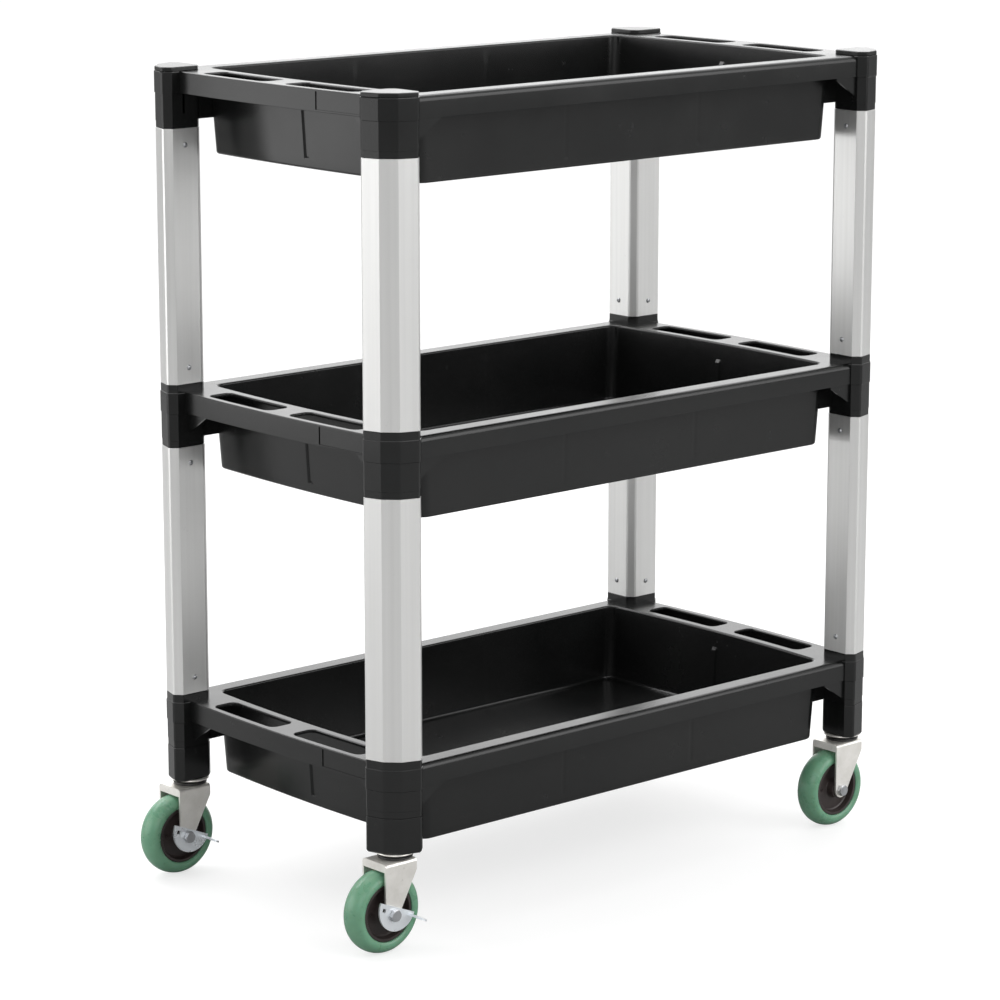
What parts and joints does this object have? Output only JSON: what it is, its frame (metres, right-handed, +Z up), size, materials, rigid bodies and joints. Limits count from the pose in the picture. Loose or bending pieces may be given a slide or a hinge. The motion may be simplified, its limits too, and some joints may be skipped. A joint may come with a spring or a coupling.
{
  "type": "rolling utility cart",
  "caption": "Rolling utility cart with deep moulded trays on faceted corner posts, handle slots in the tray ends and swivel casters, braked at one end.",
  "frame": {"origin": "on the floor under the middle of the whole cart's outline", "axes": "+Z up; +X along the length, away from the end with the braked casters; +Y across the width, away from the side the brake pedals stick out of"},
  "size_m": [0.863, 0.4844, 1.007],
  "materials": {
    "black_plastic": "fine-grained moulded, satin",
    "post_aluminium": "extruded, satin, lengthwise grain",
    "zinc_steel": "zinc plated, semi-bright",
    "bright_steel": "bright zinc plated",
    "dark_race": "dark, oiled",
    "green_tread": "smooth, slightly translucent elastomer",
    "dark_hub": "moulded, dull"
  },
  "bodies": {
    "cart": {"tray_bottom": "black_plastic", "tray_middle": "black_plastic", "tray_top": "black_plastic", "upright_lower_front_left": "post_aluminium", "upright_upper_front_left": "post_aluminium", "cap_front_left": "black_plastic", "foot_front_left": "black_plastic", "kingpin_front_left": "zinc_steel", "upright_lower_front_right": "post_aluminium", "upright_upper_front_right": "post_aluminium", "cap_front_right": "black_plastic", "foot_front_right": "black_plastic", "kingpin_front_right": "zinc_steel", "upright_lower_back_right": "post_aluminium", "upright_upper_back_right": "post_aluminium", "cap_back_right": "black_plastic", "foot_back_right": "black_plastic", "kingpin_back_right": "zinc_steel", "upright_lower_back_left": "post_aluminium", "upright_upper_back_left": "post_aluminium", "cap_back_left": "black_plastic", "foot_back_left": "black_plastic", "kingpin_back_left": "zinc_steel"},
    "swivel_front_left": {"race_front_left": "dark_race", "fork_front_left": "zinc_steel", "axle_bolt_front_left": "bright_steel", "axle_nut_front_left": "bright_steel", "bush_front_left": "bright_steel"},
    "wheel_front_left": {"hub_front_left": "dark_hub", "tread_front_left": "green_tread"},
    "brake_front_left": {"brake_front_left": "bright_steel"},
    "swivel_front_right": {"race_front_right": "dark_race", "fork_front_right": "zinc_steel", "axle_bolt_front_right": "bright_steel", "axle_nut_front_right": "bright_steel", "bush_front_right": "bright_steel"},
    "wheel_front_right": {"hub_front_right": "dark_hub", "tread_front_right": "green_tread"},
    "swivel_back_right": {"race_back_right": "dark_race", "fork_back_right": "zinc_steel", "axle_bolt_back_right": "bright_steel", "axle_nut_back_right": "bright_steel", "bush_back_right": "bright_steel"},
    "wheel_back_right": {"hub_back_right": "dark_hub", "tread_back_right": "green_tread"},
    "swivel_back_left": {"race_back_left": "dark_race", "fork_back_left": "zinc_steel", "axle_bolt_back_left": "bright_steel", "axle_nut_back_left": "bright_steel", "bush_back_left": "bright_steel"},
    "wheel_back_left": {"hub_back_left": "dark_hub", "tread_back_left": "green_tread"},
    "brake_back_left": {"brake_back_left": "bright_steel"}
  },
  "joints": [
    {"name": "swivel_front_left", "type": "hinge", "parent": "cart", "child": "swivel_front_left", "pos_m": [-0.35869, -0.19194, 0.116], "axis": [0, 0, 1], "continuous": true},
    {"name": "spin_front_left", "type": "hinge", "parent": "swivel_front_left", "child": "wheel_front_left", "pos_m": [-0.38069, -0.19194, 0.0508], "axis": [0, 1, 0], "continuous": true},
    {"name": "brake_front_left", "type": "hinge", "parent": "swivel_front_left", "child": "brake_front_left", "pos_m": [-0.38069, -0.19194, 0.0508], "axis": [0, 1, 0], "range_deg": [-25, 0]},
    {"name": "swivel_front_right", "type": "hinge", "parent": "cart", "child": "swivel_front_right", "pos_m": [0.39831, -0.19194, 0.116], "axis": [0, 0, 1], "continuous": true},
    {"name": "spin_front_right", "type": "hinge", "parent": "swivel_front_right", "child": "wheel_front_right", "pos_m": [0.37631, -0.19194, 0.0508], "axis": [0, 1, 0], "continuous": true},
    {"name": "swivel_back_right", "type": "hinge", "parent": "cart", "child": "swivel_back_right", "pos_m": [0.39831, 0.20906, 0.116], "axis": [0, 0, 1], "continuous": true},
    {"name": "spin_back_right", "type": "hinge", "parent": "swivel_back_right", "child": "wheel_back_right", "pos_m": [0.37631, 0.20906, 0.0508], "axis": [0, 1, 0], "continuous": true},
    {"name": "swivel_back_left", "type": "hinge", "parent": "cart", "child": "swivel_back_left", "pos_m": [-0.35869, 0.20906, 0.116], "axis": [0, 0, 1], "continuous": true},
    {"name": "spin_back_left", "type": "hinge", "parent": "swivel_back_left", "child": "wheel_back_left", "pos_m": [-0.38069, 0.20906, 0.0508], "axis": [0, 1, 0], "continuous": true},
    {"name": "brake_back_left", "type": "hinge", "parent": "swivel_back_left", "child": "brake_back_left", "pos_m": [-0.38069, 0.20906, 0.0508], "axis": [0, 1, 0], "range_deg": [-25, 0]}
  ]
}
